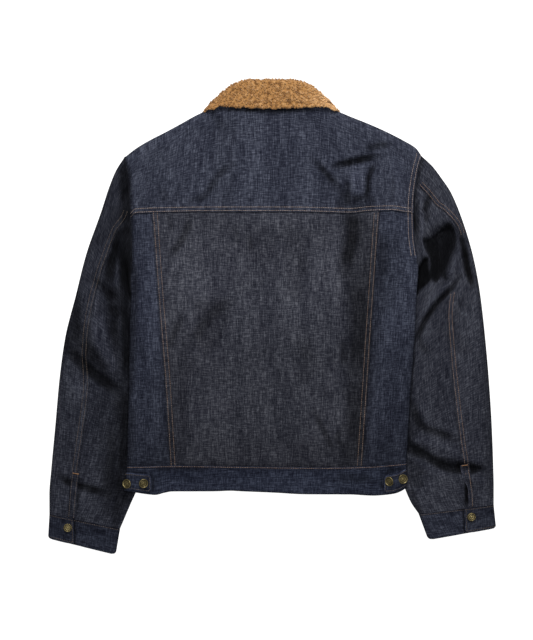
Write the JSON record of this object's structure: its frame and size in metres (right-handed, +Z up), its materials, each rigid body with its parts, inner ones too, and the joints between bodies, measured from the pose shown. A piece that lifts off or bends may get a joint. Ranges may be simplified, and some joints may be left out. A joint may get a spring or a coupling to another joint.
{
  "type": "sherpa lined jacket",
  "caption": "Waist-length denim jacket with a sherpa pile collar and lining, buttoned up and laid flat on its front, so its yoke, back panels and waistband show.",
  "frame": {"origin": "on the surface that the jacket lies on, under the middle of its bounding box", "axes": "+Y from the hem to the collar, +Z up off the surface and out of the jacket's back, +X towards the wearer's right sleeve"},
  "size_m": [0.783, 0.8298, 0.0408],
  "materials": {
    "denim": "raw indigo denim with tan stitching, pale pile on its inner face",
    "sherpa": "camel sherpa pile",
    "button_brass": "antique, with a raised rim"
  },
  "bodies": {
    "root": {"back_yoke": "denim", "back_centre": "denim", "back_side_left": "denim", "back_side_right": "denim", "front_left": "denim", "front_right": "denim", "waistband_back": "denim", "waistband_front_left": "denim", "waistband_front_right": "denim", "hem_tab_left": "denim", "hem_tab_right": "denim", "sleeve_left_outer": "denim", "sleeve_left_inner": "denim", "sleeve_right_outer": "denim", "sleeve_right_inner": "denim", "vent_strip_left": "denim", "vent_strip_right": "denim", "cuff_left": "denim", "cuff_right": "denim", "collar_pile": "sherpa", "collar_under": "denim", "front_button_1": "button_brass", "front_button_2": "button_brass", "front_button_3": "button_brass", "front_button_4": "button_brass", "front_button_5": "button_brass", "front_button_6": "button_brass", "hem_button_left_1": "button_brass", "hem_button_left_2": "button_brass", "hem_button_right_1": "button_brass", "hem_button_right_2": "button_brass", "cuff_button_left": "button_brass", "cuff_button_right": "button_brass"}
  },
  "joints": []
}
